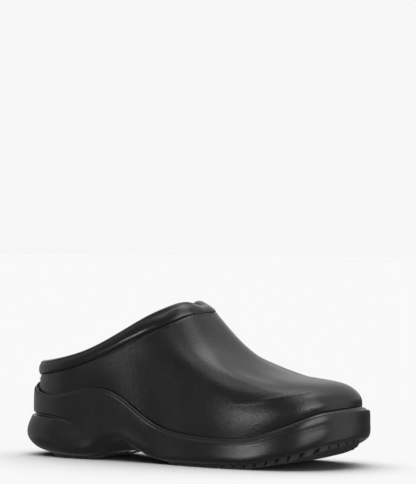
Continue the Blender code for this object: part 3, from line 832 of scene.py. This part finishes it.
def largest_part(data):
    """Drops the crumbs that the cuts leave loose at the pad's edge."""
    whole = bmesh.new()
    whole.from_mesh(data)
    left = set(whole.verts)
    parts = []
    while left:
        part, open_ends = set(), [next(vert for vert in whole.verts if vert in left)]
        while open_ends:
            vert = open_ends.pop()
            if vert in left:
                left.discard(vert)
                part.add(vert)
                open_ends.extend(edge.other_vert(vert) for edge in vert.link_edges)
        parts.append(part)
    largest = max(parts, key=len)
    crumbs = [vert for vert in whole.verts if vert not in largest]
    bmesh.ops.delete(whole, geom=crumbs, context="VERTS")
    whole.to_mesh(data)
    whole.free()


def tread_pad(name, cut, toward_toe):
    rungs = tread_rungs(bottom_edge, cut, toward_toe, 20)
    pad = slab(rungs, tread_top, tread_line).finish(name, [tread_black])
    start, end = rungs[:, :, 0].min(), rungs[:, :, 0].max()
    reach = 0.62 * BALL_WIDTH

    def trench(x, y, half, label, slant):
        """A cutter along a line of points, half as wide to each side, out of the tread below."""
        body = Skin()
        roof, sill = [], []
        for line in (np.column_stack([x - half[0], y - half[1]]),
                     np.column_stack([x + half[0], y + half[1]])):
            level = tread_line(line[:, 0])
            roof.append(np.column_stack([line, level + lug_depth(line[:, 0])]))
            sill.append(np.column_stack([line - (slant, 0.0), level - CUT_UNDER]))
        body.add(roof, False)
        body.add(sill, False)
        for index in (0, 1):
            body.add([roof[index], sill[index]], False)
        for index in (0, -1):
            body.add([[roof[0][index], roof[1][index]], [sill[0][index], sill[1][index]]], False)
        return body.finish(label, [tread_black])

    def join(pieces):
        whole = bmesh.new()
        for piece in pieces:
            whole.from_mesh(piece.data)
            bpy.data.objects.remove(piece, do_unlink=True)
        data = bpy.data.meshes.new("cutters")
        whole.to_mesh(data)
        whole.free()
        return bpy.data.objects.new("cutters", data)

    y = -reach + 2.0 * reach * np.arange(LUG_TEETH + 1) / LUG_TEETH
    swing = LUG_ZIGZAG * np.where(np.arange(LUG_TEETH + 1) % 2, 0.5, -0.5)
    zig = []
    for cell in range(1, int((end - start) / LUG_PITCH) + 1):
        x = start + (cell - 0.35) * LUG_PITCH + 0.5 * LUG_GAP
        if x <= end - 0.006:
            zig.append(trench(x + swing, y, (0.5 * LUG_GAP, 0.0), "zig", LUG_SLANT))
    x = np.arange(start - 0.004, end + 0.006, 0.003)
    cross = [trench(x, np.full(len(x), k * CROSS_PITCH + CROSS_SHIFT), (0.0, CROSS_HALF), "cross", 0.0)
             for k in range(-7, 8)]
    for group in (zig, cross):
        cutter = join(group)
        cut_mod = pad.modifiers.new("lugs", "BOOLEAN")
        cut_mod.operation = "DIFFERENCE"
        cut_mod.solver = "EXACT"
        cut_mod.use_self = True
        cut_mod.object = cutter
        bpy.context.scene.collection.objects.link(cutter)
        bpy.context.view_layer.update()
        evaluated = pad.evaluated_get(bpy.context.evaluated_depsgraph_get())
        done = bpy.data.meshes.new_from_object(evaluated)
        pad.modifiers.clear()
        pad.data = done
        bpy.data.objects.remove(cutter, do_unlink=True)
    largest_part(pad.data)
    pad.data.shade_flat()
    return pad


tread_heel = tread_pad("tread_heel", HEEL_TREAD_FRONT, False)
tread_forefoot = tread_pad("tread_forefoot", FORE_TREAD_BACK, True)

for piece, node, slot in (
    (upper_body, "upper", "moulded_upper"),
    (collar_band, "upper", "moulded_upper"),
    (sole_body, "sole", "moulded_sole"),
    (insole_sock, "insole", "insole_cloth"),
    (tread_heel, "outsole_heel", "tread_rubber"),
    (tread_forefoot, "outsole_forefoot", "tread_rubber"),
):
    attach(piece, "root")
    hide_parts(node)


# Floor

SPAN = 9.0
floor_nodes = Nodes("pale studio floor", (0.15, 0.15, 0.15), 1.0)
floor_nodes.shader.inputs["Specular IOR Level"].default_value = 0.0
floor_data = bpy.data.meshes.new("studio_floor")
floor_data.from_pydata([(-SPAN, -SPAN, 0), (SPAN, -SPAN, 0), (SPAN, SPAN, 0), (-SPAN, SPAN, 0)],
                       [], [(0, 1, 2, 3)])
floor_data.materials.append(floor_nodes.material)
floor = bpy.data.objects.new("studio_floor", floor_data)
bpy.context.scene.collection.objects.link(floor)
floor.visible_glossy = False
floor.visible_shadow = False

# Soft light down on the floor alone, for the shadow under the shoe. It leans from
# behind the shoe, as the camera sees it, and lights nothing but the floor.
SUN_TURN = math.radians(31.9)
SUN_RISE = 4.0
SUN_ENERGY = 16.7
SUN_ANGLE = math.radians(90.0)
lit = bpy.data.collections.new("lit_floor")
lit.objects.link(floor)
overhead_data = bpy.data.lights.new("overhead", "SUN")
overhead_data.energy = SUN_ENERGY
overhead_data.angle = SUN_ANGLE
overhead = bpy.data.objects.new("overhead", overhead_data)
bpy.context.scene.collection.objects.link(overhead)
toward_sun = Vector((-math.sin(SUN_TURN), math.cos(SUN_TURN), SUN_RISE))
overhead.rotation_euler = toward_sun.to_track_quat("Z", "Y").to_euler()
overhead.light_linking.receiver_collection = lit


# Camera: the photo's angle to the shoe

AZIMUTH = math.radians(31.899)
ELEVATION = math.radians(3.358)
DISTANCE = 2.0
TARGET = Vector((0.0, 0.0, 0.055))
PICTURE = (416.0, 484.0)
SENSOR = 36.0
PER_METRE = 1411.4                 # pixels of the picture to a metre at the target
TARGET_PIXEL = (193.50, 382.48)

right = Vector((math.cos(AZIMUTH), math.sin(AZIMUTH), 0.0))
back = Vector((math.sin(AZIMUTH) * math.cos(ELEVATION),
               -math.cos(AZIMUTH) * math.cos(ELEVATION), math.sin(ELEVATION)))
up = back.cross(right)
camera_data = bpy.data.cameras.new("camera")
camera_data.sensor_fit = "HORIZONTAL"
camera_data.sensor_width = SENSOR
camera_data.lens = PER_METRE * DISTANCE / PICTURE[0] * SENSOR
camera_data.clip_end = 40.0
camera = bpy.data.objects.new("camera", camera_data)
bpy.context.scene.collection.objects.link(camera)
camera.location = TARGET + DISTANCE * back
# The picture's middle lies right of and above the target
aim = (TARGET + right * ((0.5 * PICTURE[0] - TARGET_PIXEL[0]) / PER_METRE)
       + up * ((TARGET_PIXEL[1] - 0.5 * PICTURE[1]) / PER_METRE))
camera.rotation_mode = "QUATERNION"
camera.rotation_quaternion = (aim - camera.location).to_track_quat("-Z", "Y")
bpy.context.scene.camera = camera


# Light: soft boxes all round the shoe, painted on the far surroundings. The camera
# itself sees a plain pale backdrop there.

BACKDROP = 0.922
BASE_LIGHT = 0.15
world = bpy.data.worlds.new("studio")
bpy.context.scene.world = world
world.use_nodes = True
tree = world.node_tree
tree.nodes.clear()


def calculate(operation, *values):
    node = tree.nodes.new("ShaderNodeMath")
    node.operation = operation
    for socket, value in zip(node.inputs, values):
        if isinstance(value, (int, float)):
            socket.default_value = value
        else:
            tree.links.new(value, socket)
    return node.outputs["Value"]


def fade(value, start, end):
    """0 before the start, 1 after the end, smooth in between."""
    node = tree.nodes.new("ShaderNodeMapRange")
    node.interpolation_type = "SMOOTHSTEP"
    node.inputs["From Min"].default_value = start
    node.inputs["From Max"].default_value = end
    tree.links.new(value, node.inputs["Value"])
    return node.outputs["Result"]


way = tree.nodes.new("ShaderNodeSeparateXYZ")
tree.links.new(tree.nodes.new("ShaderNodeTexCoord").outputs["Generated"], way.inputs["Vector"])
toward = calculate("MULTIPLY", way.outputs["Y"], -1.0)
azimuth = calculate("DEGREES", calculate("ARCTAN2", way.outputs["X"], toward))
height = calculate("DEGREES", calculate("ARCSINE", way.outputs["Z"]))


def soft_box(strength, left, right, low, top, soft, around_back):
    """A light that fills this window of azimuth and elevation, with soft edges."""
    turn = calculate("ABSOLUTE", azimuth) if around_back else azimuth
    shape = fade(turn, left - soft, left + soft)
    if right < 180.0:
        shape = calculate("MULTIPLY", shape, fade(turn, right + soft, right - soft))
    shape = calculate("MULTIPLY", shape, fade(height, low - soft, low + soft))
    if top < 90.0:
        shape = calculate("MULTIPLY", shape, fade(height, top + soft, top - soft))
    return calculate("MULTIPLY", shape, strength)


# strength; azimuth from and to; elevation from and to; softness, all in degrees;
# and whether the azimuth counts to both sides, for what stands behind
BOXES = (
    (6.0, -27.0, -14.0, -5.0, 9.0, 2.0, False),        # low strip on the left
    (1.4, -50.0, -14.0, 42.0, 74.0, 5.0, False),       # high strip on the left
    (3.9, 25.0, 74.0, 0.0, 25.0, 4.5, False),          # large box on the right
    (2.2, 22.0, 70.0, 25.0, 50.0, 5.0, False),         # its upper part
    (1.3, 5.0, 75.0, 50.0, 78.0, 6.0, False),          # over the toe
    (1.4, -200.0, 200.0, 70.0, 90.0, 6.0, False),      # over the shoe
    (2.4, -200.0, 200.0, 79.0, 90.0, 4.0, False),      # its middle
    (0.80, 84.0, 120.0, -40.0, 70.0, 8.0, False),      # pale backdrop on the right
    (0.30, -125.0, -55.0, -20.0, 60.0, 10.0, False),   # faint fill on the left
    (0.75, 125.0, 180.0, 8.0, 76.0, 7.0, True),        # and behind
    (0.35, 120.0, 180.0, 56.0, 80.0, 5.0, True),       # higher behind
)
total = BASE_LIGHT
for box in BOXES:
    total = calculate("ADD", total, soft_box(*box))

output = tree.nodes.new("ShaderNodeOutputWorld")
light = tree.nodes.new("ShaderNodeBackground")
tree.links.new(total, light.inputs["Strength"])
light.inputs["Color"].default_value = (1.0, 1.0, 1.0, 1.0)
seen = tree.nodes.new("ShaderNodeBackground")
seen.inputs["Color"].default_value = (1.0, 1.0, 1.0, 1.0)
seen.inputs["Strength"].default_value = BACKDROP
path = tree.nodes.new("ShaderNodeLightPath")
mix = tree.nodes.new("ShaderNodeMixShader")
tree.links.new(path.outputs["Is Camera Ray"], mix.inputs["Fac"])
tree.links.new(light.outputs["Background"], mix.inputs[1])
tree.links.new(seen.outputs["Background"], mix.inputs[2])
tree.links.new(mix.outputs["Shader"], output.inputs["Surface"])
bpy.context.scene.view_settings.view_transform = "Standard"
